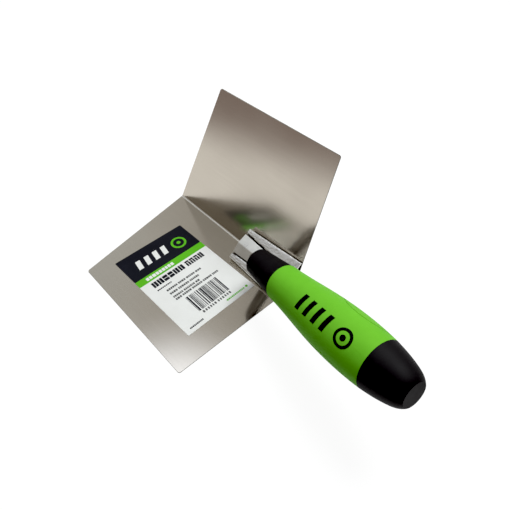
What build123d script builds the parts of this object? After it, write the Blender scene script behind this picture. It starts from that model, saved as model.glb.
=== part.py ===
from build123d import *
import os
from math import cos, radians, sin

# Inside corner trowel: a V-folded flexible steel blade with a pitched soft-grip handle.
#
# Tool frame used while building (mm): X along the fold towards the nose, Z from the fold
# towards the handle, Y across; the lower wing is on +Y. The inner fold line's rear end is
# the origin. place() then lays the lower wing flat on the ground for the row frame.

# Blade: one stainless sheet, folded along X
WING_ANGLE = 104.0          # angle between the two wings, relaxed
FOLD_LENGTH = 130.0         # along the fold, nose to rear
WING_WIDTH = 102.4          # fold to outer edge, in the plane of a wing
NOSE_RAKE = 22.2            # how far the nose edge has swept back at the outer edge
SHEET = 0.6                 # blade thickness
BEND_RADIUS = 1.5           # inside radius of the fold
CORNER_RADIUS = 1.5         # outer corners of the wings
FLEX_LINE = 19.0            # from the fold to the line the free wing flexes about
FLEX_GAP = 0.1              # split between web and wing, centred on the flex line
TRIM_DEPTH = 10.0           # reach of the cutting blocks to each side of the sheet
TRIM_LENGTH = 30.0          # reach of the nose cutting block past the nose

# Saddle: pressed hat section that bridges the fold under the handle
SADDLE_LENGTH = 48.7        # from the blade's rear edge forward
SADDLE_SHEET = 1.2
SADDLE_FLOOR_Z = 4.5        # underside of its floor, above the fold line
SADDLE_FLOOR_Y = 5.5        # half width of its floor, underneath
SADDLE_FLOOR_INNER_Y = 4.6  # half width of its floor, inside
LIP_Z = 14.4                # top of the lips
LIP_Y = (15.7, 13.0)        # half width over the lips at the rear and front ends
RECESS_Y = (5.7, 8.6)       # half width between the lips at the rear and front ends
RECESS_DEPTH = 2.2          # upright part of the walls beside the mount plate
HEM_RADIUS = 1.2            # rolled hem along each lip
HEM_BORE = 0.55

# Mount plate: gabled bar seam-welded between the lips
PLATE_GAP = 0.3             # each side, inside the recess
PLATE_DEPTH = 2.1           # below the lips
PLATE_EDGE_RISE = 0.2       # edges above the lips
PLATE_RIDGE_RISE = 2.0      # ridge above the lips
PLATE_END = 0.6             # set back from the saddle's rear end

# Handle axis
HANDLE_PITCH = 16.1         # rise away from the fold, degrees
COLLAR_FRONT = (13.15, 42.6)  # X and Z of the centre of the collar's front

# Shank: round bar with a gooseneck, turned down to a tang that is threaded at its rear end
SHANK_RADIUS = 4.4
NECK_REACH = 4.8            # gooseneck corner ahead of the collar, along the handle axis
NECK_RADIUS = 6.2
TANG_RADIUS = 3.25
TANG_START = 8.0            # stations along the handle axis, from the collar's front
SHANK_FOOT_Z = 14.1         # lower end of the shank's centre line
SHANK_FIT = 0.06            # clearance in the mount plate and the handle core
THREAD_RADIUS = 3.0
THREAD_START = 96.5
THREAD_END = 108.0

# Handle stations and radii along its axis
COLLAR_END = 27.0
GRIP_END = 104.9
COLLAR_WALL = 1.0           # front wall of the collar
COLLAR_EDGE = 1.1           # rounding of the collar's front rim
CORE_NECK_RADIUS = 7.0      # core inside the collar
CORE_RADIUS = 9.5           # core inside the grip
SPIGOT_RADIUS = 8.2         # core inside the butt cap
SPIGOT_END = 111.5
NUT_RECESS_RADIUS = 6.9
NUT_RECESS_START = 99.5
FIT = 0.05                  # between moulded parts
WASHER = (6.4, 1.2)         # radius, thickness
NUT_FLATS = 10.0
NUT_HEIGHT = 5.0
CAP_DEPTH = 7.5             # depth of the cap's cavity
OVERCUT = 1.0               # how far cutting tools run past the faces they open
TOLERANCE = 1e-6            # lengths closer than this count as equal
PARALLEL = 0.99             # cosine above which two directions count as parallel

COLLAR_PROFILE = [(0, 9.1), (9, 9.9), (18, 10.8), (COLLAR_END, 11.6)]
GRIP_PROFILE = [
    (COLLAR_END, 11.9), (40, 12.75), (53, 14.05), (66, 15.25), (80, 15.85), (93, 15.65),
    (GRIP_END, 14.7),
]
CAP_PROFILE = [(GRIP_END, 14.7), (112, 13.45), (119, 11.65), (123.8, 9.65), (126.3, 7.5)]

# Oval outline moulded into each side of the grip
OVAL_STATION = 84.2
OVAL_HALF_LENGTH = 16.0
OVAL_HALF_HEIGHT = 8.0
OVAL_GROOVE = 0.5
OVAL_DEPTH = 0.35
OVAL_REACH = 20.0

# Sticker on the inside of the lower wing
LABEL_LENGTH = 83.8
LABEL_WIDTH = 60.5
LABEL_THICKNESS = 0.1
LABEL_LIFT = 0.01
LABEL_CENTRE = (59.5, 52.9)  # X, and distance from the fold
LABEL_TURN = 1.6             # degrees off square
LABEL_CORNER = 0.8

# Row frame: origin near the middle of the lower wing's outer face
ORIGIN_X = 55.0
ORIGIN_FROM_FOLD = 57.5

HALF = radians(WING_ANGLE / 2)
PITCH = radians(HANDLE_PITCH)


def place(shape):
    """Lay the lower wing flat, outer face down, with the origin near its middle."""
    laid = Rot(WING_ANGLE / 2 - 90, 0, 0) * shape
    return Pos(-ORIGIN_X, -ORIGIN_FROM_FOLD, SHEET) * laid


def wing_point(side, x, v, n):
    """Point on a wing: v from the fold, n off its inner face towards the handle."""
    return Vector(x, side * (v * sin(HALF) - n * cos(HALF)), v * cos(HALF) + n * sin(HALF))


def nose_x(v):
    return FOLD_LENGTH - NOSE_RAKE * v / WING_WIDTH


def wing_solid(side, outline, low, high):
    """Prism over an outline of (x, v) points in a wing's plane, from n=low to n=high."""
    points = [wing_point(side, x, v, low) for x, v in outline]
    face = Face(Wire.make_polygon(points, close=True))
    normal = wing_point(side, 0, 0, 1)
    return Solid.extrude(face, normal * (high - low))


def blade_web():
    """Centre of the sheet: the fold and the strips that the saddle is welded to."""
    edge = FLEX_LINE - FLEX_GAP / 2
    inner = [wing_point(side, 0, edge, 0) for side in (1, -1)]
    outer = [wing_point(side, 0, edge, -SHEET) for side in (-1, 1)]
    apex_out = -SHEET / sin(HALF)
    points = [(inner[0].Y, inner[0].Z), (0, 0), (inner[1].Y, inner[1].Z)]
    points += [(outer[0].Y, outer[0].Z), (0, apex_out), (outer[1].Y, outer[1].Z)]
    section = make_face(Polyline(*points, close=True))
    on_fold = section.vertices().filter_by(lambda v: abs(v.X) < SHEET / 2).sort_by(Axis.Y)
    section = fillet(on_fold[-1], BEND_RADIUS)
    on_fold = section.vertices().filter_by(lambda v: abs(v.X) < SHEET / 2).sort_by(Axis.Y)
    section = fillet(on_fold[0], BEND_RADIUS + SHEET)
    web = extrude(Plane.YZ * section, FOLD_LENGTH)
    low, high = -TRIM_DEPTH / 2, WING_WIDTH
    far = FOLD_LENGTH + TRIM_LENGTH
    nose = [(nose_x(low), low), (far, low), (far, high), (nose_x(high), high)]
    for side in (1, -1):
        web = web - wing_solid(side, nose, -TRIM_DEPTH, TRIM_DEPTH)
    return web


def wing(side):
    """Free, flexing part of one wing."""
    start = FLEX_LINE + FLEX_GAP / 2
    outline = [(0, start), (nose_x(start), start), (nose_x(WING_WIDTH), WING_WIDTH)]
    outline += [(0, WING_WIDTH)]
    plate = wing_solid(side, outline, -SHEET, 0)
    tip = wing_point(side, 0, WING_WIDTH, 0)
    across = wing_point(side, 0, 0, 1)
    corners = [
        e for e in plate.edges()
        if abs(e.length - SHEET) < TOLERANCE
        and abs(e.center().Z - tip.Z) < SHEET
        and abs((e @ 1 - e @ 0).normalized().dot(across)) > PARALLEL
    ]
    return fillet(corners, CORNER_RADIUS)


def between(pair, x):
    """Value at X of a size given at the saddle's rear and front ends."""
    return pair[0] + (pair[1] - pair[0]) * x / SADDLE_LENGTH


def mirrored(points):
    """Close a right-hand half section, given from bottom centre to top centre."""
    return points + [(-y, z) for y, z in reversed(points) if y > 0]


def section_at(x, points):
    plane = Plane(origin=(x, 0, 0), x_dir=(0, 1, 0), z_dir=(1, 0, 0))
    return plane * make_face(Polyline(*points, close=True))


def circle_at(x, side, radius):
    plane = Plane(origin=(x, 0, 0), x_dir=(0, 1, 0), z_dir=(1, 0, 0))
    y = between(LIP_Y, x) - HEM_RADIUS
    return plane * Pos(side * y, LIP_Z - HEM_RADIUS) * Circle(radius)


def saddle_half(x):
    tip, gap = between(LIP_Y, x) - HEM_RADIUS, between(RECESS_Y, x)
    return [
        (SADDLE_FLOOR_Y, SADDLE_FLOOR_Z),
        (gap + SADDLE_SHEET, LIP_Z - RECESS_DEPTH),
        (gap + SADDLE_SHEET, LIP_Z - SADDLE_SHEET),
        (tip, LIP_Z - SADDLE_SHEET),
        (tip, LIP_Z),
        (gap, LIP_Z),
        (gap, LIP_Z - RECESS_DEPTH),
        (SADDLE_FLOOR_INNER_Y, SADDLE_FLOOR_Z + SADDLE_SHEET),
    ]


def saddle():
    """Hat-section channel with a rolled hem along each lip."""
    ends = [section_at(x, mirrored(saddle_half(x))) for x in (0, SADDLE_LENGTH)]
    channel = loft(ends, ruled=True)
    for side in (1, -1):
        channel = channel + loft([circle_at(x, side, HEM_RADIUS) for x in (0, SADDLE_LENGTH)])
    for side in (1, -1):
        channel = channel - loft([circle_at(x, side, HEM_BORE) for x in (0, SADDLE_LENGTH)])
    return channel


def plate_section(x):
    edge = between(RECESS_Y, x) - PLATE_GAP
    low, top = LIP_Z - PLATE_DEPTH, LIP_Z + PLATE_EDGE_RISE
    ridge = LIP_Z + PLATE_RIDGE_RISE
    return section_at(x, [(-edge, low), (edge, low), (edge, top), (0, ridge), (-edge, top)])


def mount_plate():
    """Gabled bar with a hole for the foot of the shank."""
    bar = loft([plate_section(x) for x in (PLATE_END, SADDLE_LENGTH)], ruled=True)
    return bar - shank_bar(SHANK_RADIUS + SHANK_FIT, SHANK_FOOT_Z - NECK_RADIUS)


def axis_point(station):
    """Point on the handle axis, measured from the collar's front."""
    return Vector(
        COLLAR_FRONT[0] - station * cos(PITCH), 0, COLLAR_FRONT[1] + station * sin(PITCH)
    )


def shank_bar(radius, foot_z):
    """Round bar that stands square to the fold, bends and runs into the handle."""
    corner = axis_point(-NECK_REACH)
    foot = Vector(corner.X, 0, foot_z)
    path = FilletPolyline(foot, corner, axis_point(TANG_START), radius=NECK_RADIUS)
    return sweep(Plane.XY.offset(foot_z) * Pos(corner.X, 0) * Circle(radius), path=path)


def shank():
    bar = shank_bar(SHANK_RADIUS, SHANK_FOOT_Z)
    bar += on_axis(TANG_START) * rod(TANG_RADIUS, THREAD_START - TANG_START)
    return bar + on_axis(THREAD_START) * rod(THREAD_RADIUS, THREAD_END - THREAD_START)


def rod(radius, length):
    return Cylinder(radius, length, align=(Align.CENTER, Align.CENTER, Align.MIN))


def on_axis(station=0.0):
    """Place a shape whose +Z runs rearwards along the handle, +X away from the fold."""
    return Location(
        Plane(
            origin=axis_point(station),
            x_dir=(sin(PITCH), 0, cos(PITCH)),
            z_dir=(-cos(PITCH), 0, sin(PITCH)),
        )
    )


def turned(profile, shrink=0.0):
    """Solid of revolution about Z under a smooth profile of (station, radius) points."""
    points = [(r - shrink, 0, s) for s, r in profile]
    first, last = points[0], points[-1]
    rim = Spline(*points)
    outline = rim + Line(last, (0, 0, last[2])) + Line((0, 0, last[2]), (0, 0, first[2]))
    outline += Line((0, 0, first[2]), first)
    return revolve(make_face(outline), Axis.Z)


def bore(radius, start, end):
    return Pos(0, 0, start) * rod(radius, end - start)


def collar():
    body = turned(COLLAR_PROFILE)
    rim = body.edges().sort_by(Axis.Z)[0]
    body = fillet(rim, COLLAR_EDGE)
    body -= bore(SHANK_RADIUS + SHANK_FIT, -OVERCUT, COLLAR_WALL + OVERCUT)
    return body - bore(CORE_NECK_RADIUS + FIT, COLLAR_WALL, COLLAR_END + OVERCUT)


def handle_core():
    """Stiff plastic core, drilled for the shank, with a recess for the nut."""
    body = bore(CORE_NECK_RADIUS, COLLAR_WALL + FIT, COLLAR_END + FIT)
    body += bore(CORE_RADIUS, COLLAR_END + FIT, GRIP_END)
    body += bore(SPIGOT_RADIUS, GRIP_END, SPIGOT_END)
    body -= bore(SHANK_RADIUS + SHANK_FIT, 0, TANG_START + SHANK_FIT)
    body -= bore(TANG_RADIUS + SHANK_FIT, TANG_START, NUT_RECESS_START + OVERCUT)
    return body - bore(NUT_RECESS_RADIUS, NUT_RECESS_START, SPIGOT_END + OVERCUT)


def grip_sleeve():
    """Soft moulded grip with an oval outline let into each side."""
    body = turned(GRIP_PROFILE)
    inner = turned(GRIP_PROFILE, shrink=OVAL_DEPTH)
    outer_oval = Ellipse(OVAL_HALF_HEIGHT, OVAL_HALF_LENGTH)
    inner_oval = Ellipse(OVAL_HALF_HEIGHT - OVAL_GROOVE, OVAL_HALF_LENGTH - OVAL_GROOVE)
    ring = extrude(Plane.XZ * (outer_oval - inner_oval), OVAL_REACH, both=True)
    body -= (Pos(0, 0, OVAL_STATION) * ring) - inner
    body -= bore(CORE_RADIUS + FIT, COLLAR_END - OVERCUT, GRIP_END + OVERCUT)
    return Pos(0, 0, FIT) * body


def butt_cap():
    body = Pos(0, 0, 2 * FIT) * turned(CAP_PROFILE)
    return body - bore(SPIGOT_RADIUS + FIT, GRIP_END - OVERCUT, GRIP_END + CAP_DEPTH)


def washer():
    radius, thickness = WASHER
    start = NUT_RECESS_START + FIT
    return bore(radius, start, start + thickness) - bore(THREAD_RADIUS + FIT, 0, THREAD_END)


def nut():
    start = NUT_RECESS_START + 2 * FIT + WASHER[1]
    hexagon = RegularPolygon(NUT_FLATS / 2, 6, major_radius=False)
    body = extrude(Pos(0, 0, start) * hexagon, NUT_HEIGHT)
    return body - bore(THREAD_RADIUS + FIT, 0, THREAD_END)


def label():
    """Thin sticker, a little off square on the lower wing."""
    outline = RectangleRounded(LABEL_LENGTH, LABEL_WIDTH, LABEL_CORNER)
    blank = extrude(outline, LABEL_THICKNESS)
    x, v = LABEL_CENTRE
    plane = Plane(
        origin=wing_point(1, x, v, LABEL_LIFT),
        x_dir=(1, 0, 0),
        z_dir=wing_point(1, 0, 0, 1),
    )
    return plane * Rot(0, 0, LABEL_TURN) * blank


def main():
    handle = on_axis()
    nodes = {
        "blade_web": blade_web(),
        "wing_lower": wing(1),
        "wing_upper": wing(-1),
        "saddle_channel": saddle(),
        "mount_plate": mount_plate(),
        "shank": shank(),
        "collar": handle * collar(),
        "handle_core": handle * handle_core(),
        "grip_sleeve": handle * grip_sleeve(),
        "butt_cap": handle * butt_cap(),
        "tang_washer": handle * washer(),
        "tang_nut": handle * nut(),
        "label_sticker": label(),
    }
    os.makedirs("parts", exist_ok=True)
    for name, shape in nodes.items():
        export_step(place(shape), f"parts/{name}.step")


if __name__ == "__main__":
    main()
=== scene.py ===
import random
from contextlib import contextmanager
from math import cos, pi, radians, sin, sqrt, tan

import bpy
import bmesh
from mathutils import Matrix, Vector, noise
from mathutils.bvhtree import BVHTree


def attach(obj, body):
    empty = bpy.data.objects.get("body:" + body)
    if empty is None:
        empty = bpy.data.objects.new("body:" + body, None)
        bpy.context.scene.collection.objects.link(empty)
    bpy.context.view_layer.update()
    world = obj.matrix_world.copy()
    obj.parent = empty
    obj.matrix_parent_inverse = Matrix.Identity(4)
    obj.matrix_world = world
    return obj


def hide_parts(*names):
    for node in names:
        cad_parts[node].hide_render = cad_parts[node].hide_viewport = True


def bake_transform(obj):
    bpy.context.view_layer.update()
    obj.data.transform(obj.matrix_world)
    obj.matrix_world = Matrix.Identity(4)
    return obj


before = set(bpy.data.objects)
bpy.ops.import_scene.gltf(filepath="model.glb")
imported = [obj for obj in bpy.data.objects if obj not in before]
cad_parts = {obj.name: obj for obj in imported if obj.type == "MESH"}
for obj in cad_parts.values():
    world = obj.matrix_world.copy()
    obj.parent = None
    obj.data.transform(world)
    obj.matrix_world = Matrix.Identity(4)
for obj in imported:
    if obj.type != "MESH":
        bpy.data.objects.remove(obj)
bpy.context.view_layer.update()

MM = 0.001
UM = 0.000001

# The blade, as in the CAD, in metres
HALF_ANGLE = radians(104.0) / 2     # between the fold's plane of symmetry and a wing
FOLD_LENGTH = 130.0 * MM
WING_WIDTH = 102.4 * MM
NOSE_RAKE = 22.2 * MM
SHEET = 0.6 * MM
BEND_RADIUS = 1.5 * MM
CORNER_RADIUS = 1.5 * MM
FOLD_X = -55.0 * MM                 # rear end of the fold
FOLD_Y = -57.5 * MM

# The handle's axis, as in the CAD
HANDLE_PITCH = radians(16.1)
COLLAR_FRONT = (13.15 * MM, 42.6 * MM)


def tool_vector(x, y, z):
    """A direction in the blade's own symmetric frame, turned into the row frame."""
    lay = HALF_ANGLE - pi / 2
    return Vector((x, y * cos(lay) - z * sin(lay), y * sin(lay) + z * cos(lay)))


def tool_point(x, y, z):
    """A place in the blade's own frame, whose origin is the rear end of the fold."""
    return tool_vector(x, y, z) + Vector((FOLD_X, FOLD_Y, SHEET))


def wing_point(side, x, v, n):
    """v out along a wing from the fold, n off its inner face; side 1 is the lower wing."""
    y = side * (v * sin(HALF_ANGLE) - n * cos(HALF_ANGLE))
    return tool_point(x, y, v * cos(HALF_ANGLE) + n * sin(HALF_ANGLE))


def wing_direction(side, v, n):
    """A direction in a wing's own terms."""
    return (wing_point(side, 0, v, n) - wing_point(side, 0, 0, 0)).normalized()


AXIS_START = tool_point(COLLAR_FRONT[0], 0, COLLAR_FRONT[1])
AXIS = tool_vector(-cos(HANDLE_PITCH), 0, sin(HANDLE_PITCH))
AXIS_UP = tool_vector(sin(HANDLE_PITCH), 0, cos(HANDLE_PITCH))
AXIS_SIDE = tool_vector(0, -1, 0)


# Node trees

class Tree:
    """Short-hand for building a node tree; the output of one call feeds the next."""

    def __init__(self, tree):
        self.tree = tree

    def add(self, kind, **settings):
        node = self.tree.nodes.new(kind)
        for key, value in settings.items():
            setattr(node, key, value)
        return node

    def link(self, a, b):
        self.tree.links.new(a, b)

    def noise(self, vector, scale, detail, roughness=0.5):
        node = self.add("ShaderNodeTexNoise")
        node.inputs["Scale"].default_value = scale
        node.inputs["Detail"].default_value = detail
        node.inputs["Roughness"].default_value = roughness
        self.link(vector, node.inputs["Vector"])
        return node.outputs["Fac"]

    def ramp(self, fac, *stops):
        """Map a value on to colours, given in order as (position, (r, g, b))."""
        node = self.add("ShaderNodeValToRGB")
        points = node.color_ramp.elements
        for end in (0, -1):
            points[end].position, points[end].color = stops[end][0], (*stops[end][1], 1)
        for position, colour in stops[1:-1]:
            points.new(position).color = (*colour, 1)
        self.link(fac, node.inputs["Fac"])
        return node.outputs["Color"]

    def span(self, fac, low, high, a=0.0, b=1.0):
        """Map a value from low..high on to a..b."""
        node = self.add("ShaderNodeMapRange")
        node.inputs["From Min"].default_value = low
        node.inputs["From Max"].default_value = high
        node.inputs["To Min"].default_value = a
        node.inputs["To Max"].default_value = b
        self.link(fac, node.inputs["Value"])
        return node.outputs["Result"]

    def dot(self, vector, direction):
        node = self.add("ShaderNodeVectorMath", operation="DOT_PRODUCT")
        self.link(vector, node.inputs[0])
        node.inputs[1].default_value = direction
        return node.outputs["Value"]

    def multiply(self, a, b):
        node = self.add("ShaderNodeMath", operation="MULTIPLY")
        self.link(a, node.inputs[0])
        self.link(b, node.inputs[1])
        return node.outputs[0]

    def mix(self, fac, a, colour):
        node = self.add("ShaderNodeMix", data_type="RGBA")
        self.link(fac, node.inputs[0])
        self.link(a, node.inputs[6])
        node.inputs[7].default_value = (*colour, 1)
        return node.outputs[2]

    def mix_value(self, fac, a, value):
        node = self.add("ShaderNodeMix", data_type="FLOAT")
        self.link(fac, node.inputs[0])
        self.link(a, node.inputs[2])
        node.inputs[3].default_value = value
        return node.outputs[0]


class Material(Tree):
    """A new material: the tree that feeds its one shader."""

    def __init__(self, name):
        self.mat = bpy.data.materials.new(name)
        self.mat.use_nodes = True
        super().__init__(self.mat.node_tree)
        self.bsdf = self.tree.nodes["Principled BSDF"]

    def set(self, name, value):
        self.bsdf.inputs[name].default_value = value

    def wire(self, output, name):
        self.link(output, self.bsdf.inputs[name])

    def coords(self, scale=(1, 1, 1)):
        mapping = self.add("ShaderNodeMapping")
        mapping.inputs["Scale"].default_value = scale
        self.link(self.add("ShaderNodeTexCoord").outputs["Object"], mapping.inputs["Vector"])
        return mapping.outputs["Vector"]

    def distance_from_line(self, y, z):
        """Distance from a line that runs along X at this y and z."""
        split = self.add("ShaderNodeSeparateXYZ")
        join = self.add("ShaderNodeCombineXYZ")
        length = self.add("ShaderNodeVectorMath", operation="LENGTH")
        self.link(self.add("ShaderNodeTexCoord").outputs["Object"], split.inputs["Vector"])
        for axis, centre in (("Y", y), ("Z", z)):
            offset = self.add("ShaderNodeMath", operation="SUBTRACT")
            self.link(split.outputs[axis], offset.inputs[0])
            offset.inputs[1].default_value = centre
            self.link(offset.outputs[0], join.inputs[axis])
        self.link(join.outputs[0], length.inputs[0])
        return length.outputs["Value"]

    def bump(self, height, distance, strength, after=None):
        node = self.add("ShaderNodeBump")
        node.inputs["Distance"].default_value = distance
        node.inputs["Strength"].default_value = strength
        self.link(height, node.inputs["Height"])
        if after is not None:
            self.link(after, node.inputs["Normal"])
        return node.outputs["Normal"]


# Materials

SHEET_TINT = (0.55, 0.505, 0.435)
# Painted highlight: a paler base colour along the inside of the fold.
FOLD_HIGHLIGHT_TINT = (0.86, 0.83, 0.77)
FOLD_BAND_ROUGHNESS = 0.5
FOLD_HIGHLIGHT_REACH = (0.55 * MM, 0.95 * MM)   # solid, then faded out, from the inside of the fold


def shaded(colour, factor):
    return [c * factor for c in colour]


def sheet_steel(name, satin_range):
    """Satin stainless sheet with a fine rolled grain, and a painted highlight along the fold: its
    base colour is paler there and its roughness higher.
    """
    m = Material(name)
    grain = m.noise(m.coords((14, 900, 900)), 1.0, 2.0)
    cloud = m.noise(m.coords(), 28.0, 4.0, 0.6)
    smear = m.noise(m.coords(), 32.0, 0.5)
    body = m.ramp(cloud, (0.25, shaded(SHEET_TINT, 0.94)), (0.75, SHEET_TINT))
    body = m.mix(m.span(grain, 0.3, 0.7, 0.0, 0.35), body, shaded(SHEET_TINT, 1.05))
    # Painted highlight along the fold: this band's base colour is paler and its roughness higher.
    near_fold = m.span(m.distance_from_line(FOLD_Y, SHEET), *FOLD_HIGHLIGHT_REACH, 1.0, 0.0)
    m.wire(m.mix(near_fold, body, FOLD_HIGHLIGHT_TINT), "Base Color")
    satin = m.span(smear, 0.3, 0.7, *satin_range)
    m.wire(m.mix_value(near_fold, satin, FOLD_BAND_ROUGHNESS), "Roughness")
    m.set("Metallic", 1.0)
    ripple = m.noise(m.coords((1.0, 1.2, 1.2)), 16.0, 1.0)
    m.wire(m.bump(ripple, 0.15 * MM, 0.4), "Normal")
    return m.mat


def pressed_steel(name, tint, rough, grit, scratch):
    """Worked steel: grit is the height of its pitting, scratch that of its drag marks."""
    m = Material(name)
    pits = m.noise(m.coords(), 900.0, 4.0, 0.55)
    cloud = m.noise(m.coords(), 120.0, 4.0, 0.6)
    drag = m.noise(m.coords((40, 2600, 2600)), 1.0, 3.0, 0.6)
    m.wire(m.ramp(cloud, (0.3, shaded(tint, 0.86)), (0.7, tint)), "Base Color")
    m.wire(m.span(cloud, 0.3, 0.7, rough - 0.05, rough + 0.07), "Roughness")
    m.set("Metallic", 1.0)
    m.wire(m.bump(drag, scratch, 0.6, m.bump(pits, grit, 0.7)), "Normal")
    return m.mat


def soft_grip(name, light, dark, rough, gloss, grain_height, glint=(1, 1, 1)):
    """Moulded soft plastic: fine matt grain, faint mottling, rubbed patches."""
    m = Material(name)
    grain = m.noise(m.coords(), 5200.0, 2.0, 0.6)
    mottle = m.noise(m.coords(), 130.0, 4.0, 0.6)
    rubbed = m.noise(m.coords(), 38.0, 3.0, 0.55)
    m.wire(m.ramp(mottle, (0.2, dark), (0.8, light)), "Base Color")
    m.wire(m.span(rubbed, 0.3, 0.7, rough - 0.05, rough + 0.07), "Roughness")
    m.set("Specular IOR Level", gloss)
    m.set("Specular Tint", (*glint, 1))
    m.wire(m.bump(grain, grain_height, 0.6, m.bump(mottle, 0.12 * MM, 0.25)), "Normal")
    return m.mat


def paper(name, light, dark, rough, gloss):
    """Coated label stock with faint fibre mottling and small handling dents."""
    m = Material(name)
    fibre = m.noise(m.coords(), 900.0, 5.0, 0.7)
    blotch = m.noise(m.coords(), 60.0, 3.0, 0.5)
    m.wire(m.ramp(blotch, (0.3, dark), (0.75, light)), "Base Color")
    m.wire(m.span(fibre, 0.3, 0.7, rough - 0.05, rough + 0.08), "Roughness")
    m.set("Specular IOR Level", gloss)
    m.wire(m.bump(fibre, 10 * UM, 0.4, m.bump(blotch, 0.2 * MM, 0.2)), "Normal")
    return m.mat


def make_materials():
    return {
        "wing_lower": sheet_steel("steel_lower", (0.125, 0.150)),
        "wing_upper": sheet_steel("steel_upper", (0.17, 0.21)),
        "saddle": pressed_steel("steel_saddle", (0.82, 0.80, 0.76), 0.26, 40 * UM, 4 * UM),
        "plate": pressed_steel("steel_plate", (0.86, 0.84, 0.78), 0.30, 4 * UM, 4 * UM),
        "edge": pressed_steel("steel_edge", (0.22, 0.21, 0.19), 0.70, 4 * UM, 0.0),
        # Painted shade: near-black steel that stands in for the shade in the plate's grooves.
        "scale": pressed_steel("steel_painted_groove_shade", (0.09, 0.08, 0.07), 0.55, 20 * UM, 0.0),
        "weld": pressed_steel("steel_weld", (0.42, 0.40, 0.38), 0.38, 30 * UM, 0.0),
        "shank": pressed_steel("steel_shank", (0.19, 0.175, 0.16), 0.36, 4 * UM, 2 * UM),
        "hardware": pressed_steel("steel_hardware", (0.58, 0.58, 0.60), 0.3, 4 * UM, 0.0),
        "green": soft_grip(
            "grip_green", (0.168, 0.515, 0.044), (0.148, 0.475, 0.038), 0.52, 0.10, 10 * UM,
            glint=(1.0, 0.95, 0.35),
        ),
        "black": soft_grip(
            "rubber_black", (0.018, 0.0165, 0.0175), (0.014, 0.0125, 0.0135), 0.55, 0.10,
            10 * UM,
        ),
        "core": soft_grip(
            "core_black", (0.03, 0.03, 0.03), (0.02, 0.02, 0.02), 0.5, 0.2, 12 * UM,
        ),
        "ink": soft_grip(
            "pad_ink", (0.012, 0.012, 0.012), (0.008, 0.008, 0.008), 0.45, 0.12, 6 * UM,
        ),
        "paper": paper("label_white", (0.80, 0.805, 0.785), (0.75, 0.755, 0.73), 0.42, 0.25),
        "paper_black": paper(
            "label_black", (0.012, 0.012, 0.018), (0.008, 0.008, 0.012), 0.40, 0.2,
        ),
        "paper_green": paper(
            "label_green", (0.115, 0.47, 0.020), (0.10, 0.43, 0.016), 0.40, 0.2,
        ),
        "paper_grey": paper("label_grey", (0.10, 0.10, 0.10), (0.07, 0.07, 0.07), 0.42, 0.2),
    }


# Mesh helpers

def new_object(name, verts, faces, materials, indices=None, smooth=True):
    """A mesh object; indices give each face its material."""
    mesh = bpy.data.meshes.new(name)
    mesh.from_pydata([tuple(v) for v in verts], [], faces)
    for mat in materials:
        mesh.materials.append(mat)
    if indices:
        mesh.polygons.foreach_set("material_index", indices)
    mesh.polygons.foreach_set("use_smooth", [smooth] * len(mesh.polygons))
    mesh.update()
    mesh.validate()
    obj = bpy.data.objects.new(name, mesh)
    bpy.context.scene.collection.objects.link(obj)
    return obj


@contextmanager
def editing(obj):
    """The object's mesh as a bmesh, written back at the end."""
    work = bmesh.new()
    work.from_mesh(obj.data)
    yield work
    work.to_mesh(obj.data)
    work.free()


def bevel(obj, width, segments, angle):
    """Round off the edges sharper than angle, in degrees."""
    mod = obj.modifiers.new("bevel", "BEVEL")
    mod.width = width
    mod.segments = segments
    mod.limit_method = "ANGLE"
    mod.angle_limit = radians(angle)
    mod.harden_normals = True
    graph = bpy.context.evaluated_depsgraph_get()
    mesh = bpy.data.meshes.new_from_object(obj.evaluated_get(graph))
    obj.modifiers.clear()
    obj.data = mesh
    return obj


def lofted(name, rings, materials, closed_ends=True, smooth=True):
    """Skin closed rings of equal length, and cap both ends."""
    count = len(rings[0])
    verts = [p for ring in rings for p in ring]
    faces = []
    for i in range(len(rings) - 1):
        for j in range(count):
            k = (j + 1) % count
            faces.append((i * count + j, i * count + k, (i + 1) * count + k, (i + 1) * count + j))
    if closed_ends:
        faces.append(tuple(reversed(range(count))))
        faces.append(tuple(range((len(rings) - 1) * count, len(rings) * count)))
    obj = new_object(name, verts, faces, materials, smooth=smooth)
    with editing(obj) as work:
        bmesh.ops.recalc_face_normals(work, faces=work.faces)
    return obj


def face_towards(obj, direction_at):
    """Turn round each face that looks against direction_at its centre."""
    with editing(obj) as work:
        work.normal_update()
        wrong = [
            face for face in work.faces
            if face.normal.dot(direction_at(face.calc_center_median())) < 0
        ]
        bmesh.ops.reverse_faces(work, faces=wrong)


# Blade: each half of the sheet is one continuous skin from the fold to the outer edge

FOLD_STEPS = 6
LENGTH_STEPS = 16
CORNER_STEPS = 6
RIM_START = 4.0 * MM        # distance from the fold at which the duller rims begin
RIM_FACING = 0.97           # a face that turns further from the sheet than this is rim

# Distances from the fold in mm, closest together where the sheet flexes
WING_STATIONS = (
    [2.0, 4.0, 7.0, 10.0, 13.0, 15.0] + [16.0 + 0.5 * k for k in range(13)]
    + [24.0, 28.0, 36.0, 44.0, 52.0, 60.0, 68.0, 76.0, 84.0, 90.0]
)


def nose_x(v):
    return FOLD_LENGTH - NOSE_RAKE * v / WING_WIDTH


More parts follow.
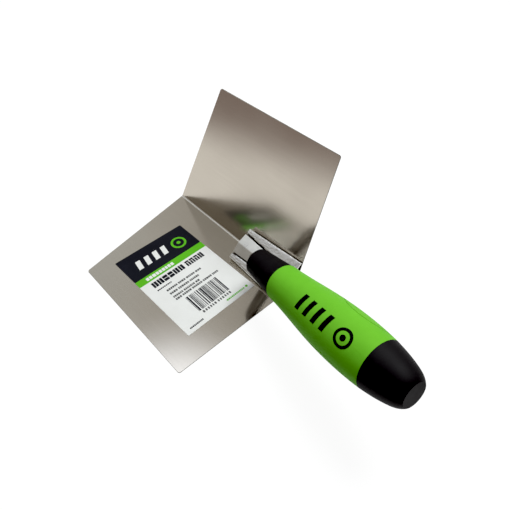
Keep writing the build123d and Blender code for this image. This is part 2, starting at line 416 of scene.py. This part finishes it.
def sheet_rows():
    """(v, n) of the inner and outer faces, from the middle of the fold outwards."""
    turn = pi / 2 - HALF_ANGLE
    start = BEND_RADIUS * tan(turn)
    outer = BEND_RADIUS + SHEET
    rows = []
    for k in range(FOLD_STEPS + 1):
        angle = turn * (1 - k / FOLD_STEPS)
        rows.append((
            (start - BEND_RADIUS * sin(angle), BEND_RADIUS * (1 - cos(angle))),
            (start - outer * sin(angle), BEND_RADIUS - outer * cos(angle)),
        ))
    last = WING_WIDTH - CORNER_RADIUS
    stations = [s * MM for s in WING_STATIONS] + [last]
    for k in range(1, CORNER_STEPS + 1):
        stations.append(last + CORNER_RADIUS * sin(pi / 2 * k / CORNER_STEPS))
    return rows + [((v, 0.0), (v, -SHEET)) for v in stations]


def corner_inset(v):
    """How far the rounded outer corners pull the sheet's ends in at v."""
    past = max(0.0, v - (WING_WIDTH - CORNER_RADIUS))
    return CORNER_RADIUS - sqrt(max(0.0, CORNER_RADIUS ** 2 - past ** 2))


def dull_rims(obj, side):
    """Give the sheared rims beyond the fold the second material."""
    out, square = wing_direction(side, 1, 0), wing_direction(side, 0, 1)
    for face in obj.data.polygons:
        beyond_fold = (face.center - wing_point(side, 0, 0, 0)).dot(out) > RIM_START
        if beyond_fold and abs(face.normal.dot(square)) < RIM_FACING:
            face.material_index = 1


def sheet_half(name, side, looks):
    """One wing from the fold outwards, its sheared rims in a duller steel."""
    rings = []
    for inner, outer in sheet_rows():
        inset = corner_inset(inner[0])
        low, high = inset, nose_x(max(inner[0], 0.0)) - inset
        xs = [low + (high - low) * k / LENGTH_STEPS for k in range(LENGTH_STEPS + 1)]
        ring = [wing_point(side, x, *inner) for x in xs]
        ring += [wing_point(side, x, *outer) for x in reversed(xs)]
        rings.append(ring)
    obj = bevel(lofted(name, rings, looks), 0.12 * MM, 2, 50)
    dull_rims(obj, side)
    return obj


def make_blade(materials):
    """Both halves, each bending from the welded centre strip into its free wing."""
    for name, side, wing, body in (
        ("sheet_lower", 1, "wing_lower", "lower_wing"),
        ("sheet_upper", -1, "wing_upper", "upper_wing"),
    ):
        piece = sheet_half(name, side, [materials[wing], materials["edge"]])
        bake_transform(piece)
        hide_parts(wing, "blade_web")


# Saddle and mount plate, in mm in the blade's own frame

SADDLE_LENGTH = 48.7
SADDLE_SHEET = 1.2
SADDLE_STEPS = 64
FLOOR = (4.9, 5.1)          # corner of the sheet's middle line at the floor
LIP_TOP = 14.4
LIP_TIP = (15.7, 13.0)      # half width over the lips, rear and front
RECESS = (5.7, 8.6)         # half width between the lips, rear and front
CURL_CLEARANCE = 0.95       # middle of the curl's end above the wing
SADDLE_CORNER = 0.85
SADDLE_CORNER_STEPS = 5
SADDLE_PARTS = (4, 5, 1, 8, 2)      # parts of each straight run, from the floor to the curl

PLATE_START = 0.6
PLATE_STEPS = 32
PLATE_GAP = 0.6
PLATE_BOTTOM = 12.3
PLATE_EDGE = 14.6
PLATE_RIDGE = 16.4

# Walls given the painted groove shade: how squarely they face across, their heights, their reach
# from the middle
WALL_FACING = 0.45
WALL_BOTTOM, WALL_TOP = 9.0, LIP_TOP + 0.2
WALL_REACH = 10.2


def along(pair, x):
    """A width that tapers from the saddle's rear to its front, at x."""
    return pair[0] + (pair[1] - pair[0]) * x / SADDLE_LENGTH


def rounded_path(points, radius, steps):
    """Open polyline of (y, z) with its inner corners rounded."""
    path = [Vector(points[0])]
    for before, corner, after in zip(points, points[1:], points[2:]):
        corner = Vector(corner)
        back, on = Vector(before) - corner, Vector(after) - corner
        reach = min(radius, back.length * 0.48, on.length * 0.48)
        start, end = corner + back.normalized() * reach, corner + on.normalized() * reach
        for k in range(steps + 1):
            t = k / steps
            path.append(start * (1 - t) ** 2 + corner * (2 * t * (1 - t)) + end * t ** 2)
    path.append(Vector(points[-1]))
    return path


def divided(path, counts):
    """Split each run of the path into its own number of equal parts."""
    out = [path[0]]
    for a, b, count in zip(path, path[1:], counts):
        out += [a.lerp(b, k / count) for k in range(1, count + 1)]
    return out


def mirrored(points):
    return [Vector((-p.x, p.y)) for p in reversed(points)]


def saddle_line(x):
    """Middle line of the pressed sheet, from the floor's centre to the end of the curl."""
    gap, tip = along(RECESS, x), along(LIP_TIP, x)
    half, middle = SADDLE_SHEET / 2, LIP_TOP - SADDLE_SHEET / 2
    end_y = tip - half
    end_z = (CURL_CLEARANCE + end_y * cos(HALF_ANGLE)) / sin(HALF_ANGLE)
    points = [(0, FLOOR[1]), FLOOR, (gap + half, middle - 2.0), (gap + half, middle)]
    points += [(end_y, middle), (end_y, min(end_z, middle - 0.5))]
    counts = [SADDLE_PARTS[0]]
    for parts in SADDLE_PARTS[1:]:
        counts += [1] * SADDLE_CORNER_STEPS + [parts]
    return divided(rounded_path(points, SADDLE_CORNER, SADDLE_CORNER_STEPS), counts)


def offset_pair(path, half):
    """The path moved half a sheet to each side."""
    sides = ([], [])
    for k, point in enumerate(path):
        ahead = path[min(k + 1, len(path) - 1)] - path[max(k - 1, 0)]
        normal = Vector((-ahead.y, ahead.x)).normalized() * half
        sides[0].append(point + normal)
        sides[1].append(point - normal)
    return sides


def hammered(x, point):
    """Small dents on the upper side of the lips, a little deeper towards the front."""
    if point.y < LIP_TOP - 0.3:
        return point
    dent = noise.noise(Vector((x * 0.55, point.x * 0.7, 3.1)))
    dent += 0.7 * noise.noise(Vector((x * 1.3, point.x * 1.5, 9.7)))
    depth = 0.22 + 0.004 * x
    return Vector((point.x, point.y - depth * abs(dent)))


def add_strip_ends(obj, ring_count, ring_size):
    """Close both ends of a lofted strip with quads across its thickness."""
    with editing(obj) as work:
        work.verts.ensure_lookup_table()
        for base in (0, (ring_count - 1) * ring_size):
            for k in range(ring_size // 2 - 1):
                low = base + ring_size - 1 - k
                corners = (base + k, base + k + 1, low - 1, low)
                work.faces.new([work.verts[i] for i in corners])
        bmesh.ops.recalc_face_normals(work, faces=work.faces)
        for face in work.faces:
            face.smooth = True


def paint_groove_shade(obj):
    """Painted shade: near-black steel on the walls that face each other across the plate's grooves.
    """
    origin = tool_point(0, 0, 0)
    across, up = tool_vector(0, 1, 0), tool_vector(0, 0, 1)
    for face in obj.data.polygons:
        place = face.center - origin
        height, side = place.dot(up) / MM, abs(place.dot(across)) / MM
        upright = abs(face.normal.dot(across)) > WALL_FACING
        if upright and WALL_BOTTOM < height < WALL_TOP and side < WALL_REACH:
            face.material_index = 1
    return obj


def saddle_mesh(materials):
    """Hat-section pressing whose lips are rolled down towards the wings."""
    rings = []
    for k in range(SADDLE_STEPS + 1):
        x = SADDLE_LENGTH * k / SADDLE_STEPS
        right = saddle_line(x)
        upper, lower = offset_pair(mirrored(right[1:]) + right, SADDLE_SHEET / 2)
        upper = [hammered(x, p) for p in upper]
        rings.append([tool_point(x * MM, p.x * MM, p.y * MM) for p in upper + lower[::-1]])
    # The second look is the painted shade on the groove walls.
    looks = [materials["saddle"], materials["scale"]]
    obj = lofted("saddle_pressing", rings, looks, closed_ends=False)
    add_strip_ends(obj, len(rings), len(rings[0]))
    return paint_groove_shade(bevel(obj, 0.14 * MM, 2, 60))


def plate_mesh(materials):
    """Gabled bar with eased edges and a soft ridge."""
    rings = []
    for k in range(PLATE_STEPS + 1):
        x = PLATE_START + (SADDLE_LENGTH - PLATE_START) * k / PLATE_STEPS
        edge = along(RECESS, x) - PLATE_GAP
        half = [(0, PLATE_BOTTOM), (edge, PLATE_BOTTOM), (edge, PLATE_EDGE), (0, PLATE_RIDGE)]
        right = rounded_path(half, 0.28, 4)
        shoulder, ridge = right[-2], right[-1]
        right[-1:] = [shoulder.lerp(ridge, t) for t in (0.06, 0.5, 0.92)]
        right.append(Vector((0, ridge.y - 0.05)))
        ring = right + mirrored(right[1:-1])
        rings.append([tool_point(x * MM, p.x * MM, p.y * MM) for p in ring])
    # The second look is the painted shade on the groove walls.
    bar = lofted("mount_bar", rings, [materials["plate"], materials["scale"]])
    return paint_groove_shade(bevel(bar, 0.25 * MM, 3, 60))


# Welds, in mm in the blade's own frame

SHANK_FOOT_X = 17.8
SHANK_SEAT = 4.7            # radius of the weld round the shank
SEAT_STEPS = 36
TACKS = ((1, 2.0), (-1, 2.0), (1, 38.5), (-1, 38.5))        # side and rear end of each
TACK_LENGTH = 8.0
TACK_STEPS = 12
TACK_OUT, TACK_UP = 5.35, 4.7
BEAD_SIDES = 10


def bead(name, centres, radius, materials, closed, seed):
    """Lumpy weld bead: rings of varied size along a line of points."""
    rng = random.Random(seed)
    rings = []
    count = len(centres)
    for k, centre in enumerate(centres):
        before = centres[(k - 1) % count] if closed else centres[max(k - 1, 0)]
        after = centres[(k + 1) % count] if closed else centres[min(k + 1, count - 1)]
        run = (after - before).normalized()
        side = run.cross(Vector((0.1, 0.2, 0.97))).normalized()
        up = side.cross(run)
        taper = 1.0 if closed else sqrt(max(0.05, 1 - (2 * k / (count - 1) - 1) ** 2))
        size = radius * taper * (1.0 + 0.16 * (k % 2) + rng.uniform(-0.05, 0.05))
        turns = [2 * pi * j / BEAD_SIDES for j in range(BEAD_SIDES)]
        rings.append([centre + (side * cos(t) + up * sin(t)) * size for t in turns])
    if closed:
        rings.append(list(rings[0]))
    obj = lofted(name, rings, [materials["weld"]], closed_ends=not closed)
    with editing(obj) as work:
        bmesh.ops.remove_doubles(work, verts=work.verts, dist=1e-7)
        bmesh.ops.recalc_face_normals(work, faces=work.faces)
    return obj


def shank_seat():
    """Points of the weld round the shank's foot, which follows the gable."""
    slope = (PLATE_RIDGE - PLATE_EDGE) / along(RECESS, SHANK_FOOT_X)
    ring = []
    for k in range(SEAT_STEPS):
        angle = 2 * pi * k / SEAT_STEPS
        y = SHANK_SEAT * sin(angle)
        z = PLATE_RIDGE - slope * abs(y)
        ring.append(tool_point((SHANK_FOOT_X + SHANK_SEAT * cos(angle)) * MM, y * MM, z * MM))
    return ring


def welds(materials):
    """A bead round the shank's foot, and tacks from the saddle's floor to the sheet."""
    beads = [bead("weld_shank", shank_seat(), 0.75 * MM, materials, True, 3)]
    for number, (side, rear) in enumerate(TACKS):
        line = []
        for k in range(TACK_STEPS + 1):
            x = rear + TACK_LENGTH * k / TACK_STEPS
            line.append(tool_point(x * MM, side * TACK_OUT * MM, TACK_UP * MM))
        beads.append(bead("weld_tack_%d" % number, line, 0.62 * MM, materials, False, number))
    return beads


def make_saddle(materials):
    for piece, node, slot in (
        (saddle_mesh(materials), "saddle_channel", "saddle_steel"),
        (plate_mesh(materials), "mount_plate", "plate_steel"),
    ):
        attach(piece, "frame")
        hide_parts(node)
    for piece in welds(materials):
        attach(piece, "frame")


# Sticker

LABEL = dict(
    length=83.8 * MM, width=60.5 * MM, thick=0.1 * MM, x=59.5 * MM, v=52.9 * MM,
    turn=radians(1.6), corner=0.8 * MM,
)
PRINT_LIFT = 0.02 * MM      # each printed layer's height above the one below it

# The printed layout, in mm: its own size across and down, then what stands where
LAYOUT = (56.9, 84.4)
HEADER_END, STRIPE_END = 25.2, 31.2
HEADER_BARS = (9.0, 16.0, 23.0, 30.0)
MARK_CENTRE = (44.8, 14.4)
MARK_STEPS = 48
TEXT_LINES = ((11.6, 42.6, 45.0), (11.6, 37.9, 48.8), (11.6, 33.3, 52.5), (11.6, 47.6, 55.2))
TEXT_HEIGHT = 1.7
BARCODE = (16.6, 59.3, 42.9, 74.6)
LAST_BAR = 42.6
FOOT_DOT = (52.6, 80.5)

# The printed layers' materials, and the index of each
INKS = ("paper_black", "paper_green", "paper_grey", "paper")
BLACK, GREEN, GREY, WHITE = range(4)

# Words: left, right, top, bottom, number of letters, gap between them, ink
STRIPE_WORD = (7.2, 29.8, 26.9, 29.7, 9, 0.45, WHITE)
TITLE_WORDS = ((7.2, 33.2, 33.2, 38.4, 6, 0.6, BLACK), (35.4, 50.3, 33.2, 38.4, 4, 0.6, BLACK))
SUBTITLE_WORD = (7.2, 18.6, 40.9, 42.0, 9, 0.3, BLACK)
FOOT_WORDS = (
    (18.0, 29.0, 75.6, 77.6, 6, 0.9, GREY), (30.6, 41.6, 75.6, 77.6, 6, 0.9, GREY),
    (4.0, 14.6, 80.3, 81.5, 10, 0.25, BLACK), (35.0, 50.4, 79.9, 81.2, 12, 0.35, GREEN),
)


def label_point(across, down, lift):
    """across runs as the print reads, from the outer edge to the fold; down is rearwards."""
    x = LABEL["length"] / 2 - down
    y = LABEL["width"] / 2 - across
    turn = LABEL["turn"]
    return wing_point(
        1,
        LABEL["x"] + x * cos(turn) - y * sin(turn),
        LABEL["v"] + x * sin(turn) + y * cos(turn),
        lift,
    )


def layout_point(a, b, layer):
    """Point of the printed layout, stretched to fill the sticker."""
    lift = LABEL["thick"] + layer * PRINT_LIFT
    return label_point(a / LAYOUT[0] * LABEL["width"], b / LAYOUT[1] * LABEL["length"], lift)


def rounded_rect(x0, y0, x1, y1, radius, steps=4):
    points = []
    corners = [(x1, y1, 0), (x0, y1, 90), (x0, y0, 180), (x1, y0, 270)]
    for cx, cy, start in corners:
        mx = cx - radius if cx == x1 else cx + radius
        my = cy - radius if cy == y1 else cy + radius
        for k in range(steps + 1):
            angle = radians(start + 90 * k / steps)
            points.append((mx + radius * cos(angle), my + radius * sin(angle)))
    return points


def block(x0, y0, x1, y1, radius):
    """Small printed rectangle, its corners no rounder than its sides allow."""
    radius = min(radius, (x1 - x0) / 2.01, (y1 - y0) / 2.01)
    return rounded_rect(x0, y0, x1, y1, radius, 3)


def disc(cx, cy, radius, steps):
    turns = [2 * pi * k / steps for k in range(steps)]
    return [(cx + radius * cos(t), cy + radius * sin(t)) for t in turns]


def word_blocks(x0, x1, y0, y1, letters, gap, ink, rng):
    """A greeked word: letter-sized plain blocks of varied width."""
    widths = [rng.uniform(0.75, 1.2) for _ in range(letters)]
    unit = (x1 - x0 - gap * (letters - 1)) / sum(widths)
    shapes, x = [], x0
    for width in widths:
        shapes.append((block(x, y0, x + width * unit, y1, 0.12 * (y1 - y0)), ink))
        x += width * unit + gap
    return shapes


def title_letter(kind, left, right, y0, y1):
    """One heavy letter as plain blocks: two columns, two rows, or a bar on two legs."""
    stem, middle = (right - left) * 0.42, (y0 + y1) / 2
    if kind == 0:
        return [
            block(left, y0, left + stem, y1, 0.1),
            block(left + stem + 0.35, y0, right, y1, 0.3),
        ]
    if kind == 1:
        return [
            block(left, y0, right, middle - 0.2, 0.4),
            block(left, middle + 0.2, right, y1, 0.4),
        ]
    return [
        block(left, y0, right, y0 + 1.5, 0.3),
        block(left, y0 + 1.8, left + stem, y1, 0.1),
        block(right - stem, y0 + 1.8, right, y1, 0.1),
    ]


def title_blocks(x0, x1, y0, y1, letters, gap, ink, rng):
    """A heavier greeked word."""
    width = (x1 - x0 - gap * (letters - 1)) / letters
    shapes = []
    for k in range(letters):
        left = x0 + k * (width + gap)
        for outline in title_letter(rng.randrange(3), left, left + width, y0, y1):
            shapes.append((outline, ink))
    return shapes


def header_bars():
    """Slanted white bars in the header."""
    return [
        ([(left, 17.6), (left + 3.7, 17.6), (left + 5.3, 9.0), (left + 1.6, 9.0)], WHITE)
        for left in HEADER_BARS
    ]


def text_lines(rng):
    """Lines of small grey words of varied length."""
    shapes = []
    for start, end, top in TEXT_LINES:
        x = start
        while x < end - 2.0:
            size = min(rng.uniform(4.5, 9.0), end - x)
            letters = max(2, round(size / 1.35))
            shapes += word_blocks(x, x + size, top, top + TEXT_HEIGHT, letters, 0.32, GREY, rng)
            x += size + 1.0
    return shapes


def barcode(rng):
    """Bars and gaps of random widths, which encode nothing."""
    x, top, right, bottom = BARCODE
    shapes = []
    while x < LAST_BAR:
        bar = rng.choice((0.3, 0.3, 0.6, 0.6, 0.9, 1.2))
        shapes.append((block(x, top, min(x + bar, right), bottom, 0.0), BLACK))
        x += bar + rng.choice((0.3, 0.3, 0.6, 0.9))
    return shapes


def ground_shapes():
    """The dark header and the stripe under it."""
    return [
        (rounded_rect(0, 0, LAYOUT[0], HEADER_END, 0.8), BLACK),
        (block(0, HEADER_END, LAYOUT[0], STRIPE_END, 0.0), GREEN),
    ]


def print_shapes():
    """A generic layout: slanted bars, title, text lines and a bar pattern."""
    rng = random.Random(11)
    shapes = header_bars() + word_blocks(*STRIPE_WORD, rng)
    for word in TITLE_WORDS:
        shapes += title_blocks(*word, rng)
    shapes += word_blocks(*SUBTITLE_WORD, rng) + text_lines(rng) + barcode(rng)
    for word in FOOT_WORDS:
        shapes += word_blocks(*word, rng)
    return shapes + [(disc(*FOOT_DOT, 1.0, 20), GREEN)]


def inked(name, verts, faces, materials, indices):
    """Flat printed faces that look up off the sticker."""
    looks = [materials[ink] for ink in INKS]
    obj = new_object(name, verts, faces, looks, indices, smooth=False)
    face_towards(obj, lambda centre: wing_direction(1, 0, 1))
    return obj


def polygon_print(name, shapes, layer, materials):
    """Thin printed shapes: (outline of (across, down) in mm, ink)."""
    verts, faces, indices = [], [], []
    for outline, ink in shapes:
        start = len(verts)
        verts += [layout_point(a, b, layer) for a, b in outline]
        faces.append(tuple(range(start, start + len(outline))))
        indices.append(ink)
    return inked(name, verts, faces, materials, indices)


def ring_print(name, centre, outer, inner, dot, layer, materials):
    """A plain green ring with a dot in it."""
    verts = []
    for radius in (outer, inner, dot):
        verts += [layout_point(a, b, layer) for a, b in disc(*centre, radius, MARK_STEPS)]
    faces = []
    for k in range(MARK_STEPS):
        n = (k + 1) % MARK_STEPS
        faces.append((k, n, MARK_STEPS + n, MARK_STEPS + k))
    faces.append(tuple(range(2 * MARK_STEPS, 3 * MARK_STEPS)))
    return inked(name, verts, faces, materials, [GREEN] * len(faces))


def label_base(materials):
    outline = rounded_rect(0, 0, LABEL["width"], LABEL["length"], LABEL["corner"])
    rings = [[label_point(a, b, n) for a, b in outline] for n in (0.01 * MM, LABEL["thick"])]
    return lofted("label_base", rings, [materials["paper"]], smooth=False)


def make_sticker(materials):
    base = label_base(materials)
    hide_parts("label_sticker")
    for piece in (
        base,
        polygon_print("label_ground", ground_shapes(), 1, materials),
        polygon_print("label_print", print_shapes(), 2, materials),
        ring_print("label_mark", MARK_CENTRE, 5.8, 4.1, 1.5, 2, materials),
    ):
        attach(piece, "lower_wing")


# Print on the grip: stations along the handle and arcs round it, in mm

GRIP_LIFT = 0.06 * MM
BAR_STATIONS = (55.2, 62.1, 69.0, 75.9)
BAR_LENGTH = 3.2
BAR_ARC = (-4.8, 5.2)
BAR_SLANT = 1.4
BAR_STEPS = 6
RING_STATION = 90.0
RING_STEPS = 40


def grip_profile():
    """The CAD grip's radius by station, measured on its upper side, clear of the side ovals."""
    graph = bpy.context.evaluated_depsgraph_get()
    tree = BVHTree.FromObject(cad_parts["grip_sleeve"], graph)

    def radius_at(station):
        middle = AXIS_START + AXIS * station
        hit = tree.ray_cast(middle + AXIS_UP * 0.05, -AXIS_UP)
        return (hit[0] - middle).dot(AXIS_UP)

    return radius_at


def grip_point(radius_at, station, arc):
    """Point just off the grip: arc runs round it from the top, towards the upper wing."""
    radius = radius_at(station)
    angle = arc / radius
    out = AXIS_UP * cos(angle) + AXIS_SIDE * sin(angle)
    return AXIS_START + AXIS * station + out * (radius + GRIP_LIFT)


def off_axis(point):
    """Direction from the handle's axis to a point."""
    place = point - AXIS_START
    return place - AXIS * place.dot(AXIS)


def grip_patches(name, patches, material):
    """Quads over the grip; each patch is rows of (station, arc)."""
    radius_at = grip_profile()
    verts, faces = [], []
    for rows in patches:
        start, count = len(verts), len(rows[0])
        for row in rows:
            verts += [grip_point(radius_at, s * MM, a * MM) for s, a in row]
        for i in range(len(rows) - 1):
            for j in range(count - 1):
                a = start + i * count + j
                faces.append((a, a + 1, a + count + 1, a + count))
    obj = new_object(name, verts, faces, [material])
    face_towards(obj, off_axis)
    return obj


def slanted_bar(start):
    rows = []
    for i in range(BAR_STEPS + 1):
        station = start + BAR_LENGTH * i / BAR_STEPS
        rows.append([
            (station + BAR_SLANT * (j / BAR_STEPS - 0.5),
             BAR_ARC[0] + (BAR_ARC[1] - BAR_ARC[0]) * j / BAR_STEPS)
            for j in range(BAR_STEPS + 1)
        ])
    return rows


def ring_band(outer, inner):
    turns = [2 * pi * k / RING_STEPS for k in range(RING_STEPS + 1)]
    return [
        [(RING_STATION + radius * cos(t), radius * sin(t)) for t in turns]
        for radius in (inner, (inner + outer) / 2, outer)
    ]


def make_grip_mark(materials):
    """A made-up mark: four slanted bars and a ring round a dot."""
    patches = [slanted_bar(start) for start in BAR_STATIONS]
    patches += [ring_band(5.4, 3.7), ring_band(1.7, 0.05)]
    mark = grip_patches("grip_mark", patches, materials["ink"])
    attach(mark, "frame")


# Stage

CAMERA_AT = (-0.180001, 0.118774, 0.260398)
CAMERA_FORWARD = (0.516872, -0.498406, -0.696013)
CAMERA_RIGHT = (-0.676257, -0.736241, 0.025013)
CAMERA_LENS = 33.18
CAMERA_SHIFT = (0.02936, -0.05196)

SOFTBOX_AT = (-0.04, -0.34, 0.95)
SOFTBOX_TARGET = (-0.05, -0.01, 0.02)
SOFTBOX_SIZE = 0.49
SOFTBOX_POWER = 8.0
SOFTBOX_COLOUR = (0.96, 0.99, 1.0)

STUDIO_FRONT = (0.78, -0.10, 0.62)      # towards the studio's palest side
STUDIO_TONES = (
    (0.0, (0.13, 0.115, 0.105)), (0.40, (0.24, 0.23, 0.22)), (0.75, (0.42, 0.41, 0.395)),
    (0.92, (0.52, 0.515, 0.50)), (0.94, (0.56, 0.56, 0.55)), (0.98, (0.66, 0.69, 0.71)),
)
# Round patches: centre, cosines of the angles of the rim and the core, colour
CORNER_SHEEN = ((0.36, -0.18, 0.915), 0.983, 0.996, (1.95, 2.1, 2.4))
SADDLE_SHEEN = ((0.47, 0.28, 0.837), 0.90, 0.985, (0.64, 0.67, 0.71))

FLOOR_HALF = 2.5
FLOOR_DROP = 0.2 * MM
# The floor's grey part is painted shade, in both its colour and its glow.
FLOOR_TINTS = ((0.0, (0.11, 0.11, 0.11)), (1.0, (0.036, 0.030, 0.029)))     # to the grey part
FLOOR_GLOWS = ((0.0, (1.0, 1.0, 1.0)), (1.0, (0.33, 0.275, 0.265)))
FLOOR_STRENGTHS = (0.93, 0.12)          # as seen, and for light that bounces on to the object

BLACK_LEVEL = 0.018


def make_camera():
    """Looks down at the open side of the blade from behind the handle."""
    data = bpy.data.cameras.new("camera")
    data.sensor_width = 36.0
    data.lens = CAMERA_LENS
    data.shift_x, data.shift_y = CAMERA_SHIFT
    data.clip_start = 0.01
    camera = bpy.data.objects.new("camera", data)
    forward, right = Vector(CAMERA_FORWARD).normalized(), Vector(CAMERA_RIGHT).normalized()
    turn = Matrix((right, right.cross(forward), -forward)).transposed()
    camera.matrix_world = Matrix.Translation(CAMERA_AT) @ turn.to_4x4()
    bpy.context.scene.collection.objects.link(camera)
    bpy.context.scene.camera = camera


def make_softbox():
    data = bpy.data.lights.new("softbox", "AREA")
    data.energy = SOFTBOX_POWER
    data.shape = "DISK"
    data.size = SOFTBOX_SIZE
    data.color = SOFTBOX_COLOUR
    obj = bpy.data.objects.new("softbox", data)
    obj.location = SOFTBOX_AT
    aim = Vector(SOFTBOX_TARGET) - Vector(SOFTBOX_AT)
    obj.rotation_euler = aim.to_track_quat("-Z", "Y").to_euler()
    bpy.context.scene.collection.objects.link(obj)


def make_world():
    """A grey studio, palest high up beyond the nose and dark behind the handle."""
    world = bpy.data.worlds.new("studio")
    bpy.context.scene.world = world
    world.use_nodes = True
    sky = Tree(world.node_tree)
    direction = sky.add("ShaderNodeTexCoord").outputs["Generated"]
    tone = sky.ramp(sky.dot(direction, STUDIO_FRONT), *STUDIO_TONES)
    for centre, rim, core, colour in (CORNER_SHEEN, SADDLE_SHEEN):
        fade = sky.span(sky.dot(direction, Vector(centre).normalized()), rim, core)
        tone = sky.mix(fade, tone, colour)
    sky.link(tone, sky.tree.nodes["Background"].inputs["Color"])


def make_floor():
    """A glowing floor with a painted pool of light: pale near the object, it greys off well beyond
    the nose, on its +Y side, as painted shade.
    """
    m = Material("floor_painted_light_pool")
    place = m.add("ShaderNodeTexCoord").outputs["Object"]
    # Painted shade: the mask that greys the floor off beyond the nose.
    across = m.span(m.dot(place, (0.76, 0.65, 0)), 0.19, 0.39)
    inside = m.span(m.dot(place, (0.416, 1.0, 0)), 0.14, 0.20)
    grey = m.multiply(across, inside)
    m.wire(m.ramp(grey, *FLOOR_TINTS), "Base Color")
    m.wire(m.ramp(grey, *FLOOR_GLOWS), "Emission Color")
    bounced = m.add("ShaderNodeLightPath").outputs["Is Diffuse Ray"]
    m.wire(m.span(bounced, 0.0, 1.0, *FLOOR_STRENGTHS), "Emission Strength")
    m.set("Roughness", 0.9)
    m.set("Specular IOR Level", 0.1)
    corners = [(x * FLOOR_HALF, y * FLOOR_HALF, 0) for x, y in ((-1, -1), (1, -1), (1, 1), (-1, 1))]
    floor = new_object("floor", corners, [(0, 1, 2, 3)], [m.mat], smooth=False)
    floor.location.z = -FLOOR_DROP


def set_view():
    """Plain display colours, the darkest tones deepened a little."""
    view = bpy.context.scene.view_settings
    view.view_transform = "Standard"
    view.use_curve_mapping = True
    view.curve_mapping.black_level = (BLACK_LEVEL,) * 3
    view.curve_mapping.update()


def dress_cad(materials):
    """Give the CAD nodes that stay visible their procedural materials."""
    looks = {
        "shank": "shank",
        "collar": "black", "handle_core": "core", "grip_sleeve": "green",
        "butt_cap": "black", "tang_washer": "hardware", "tang_nut": "hardware",
    }
    for node, look in looks.items():
        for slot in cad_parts[node].material_slots:
            slot.material = materials[look]


def build():
    materials = make_materials()
    make_camera()
    make_world()
    make_floor()
    make_softbox()
    set_view()
    dress_cad(materials)
    make_blade(materials)
    make_saddle(materials)
    make_sticker(materials)
    make_grip_mark(materials)


build()
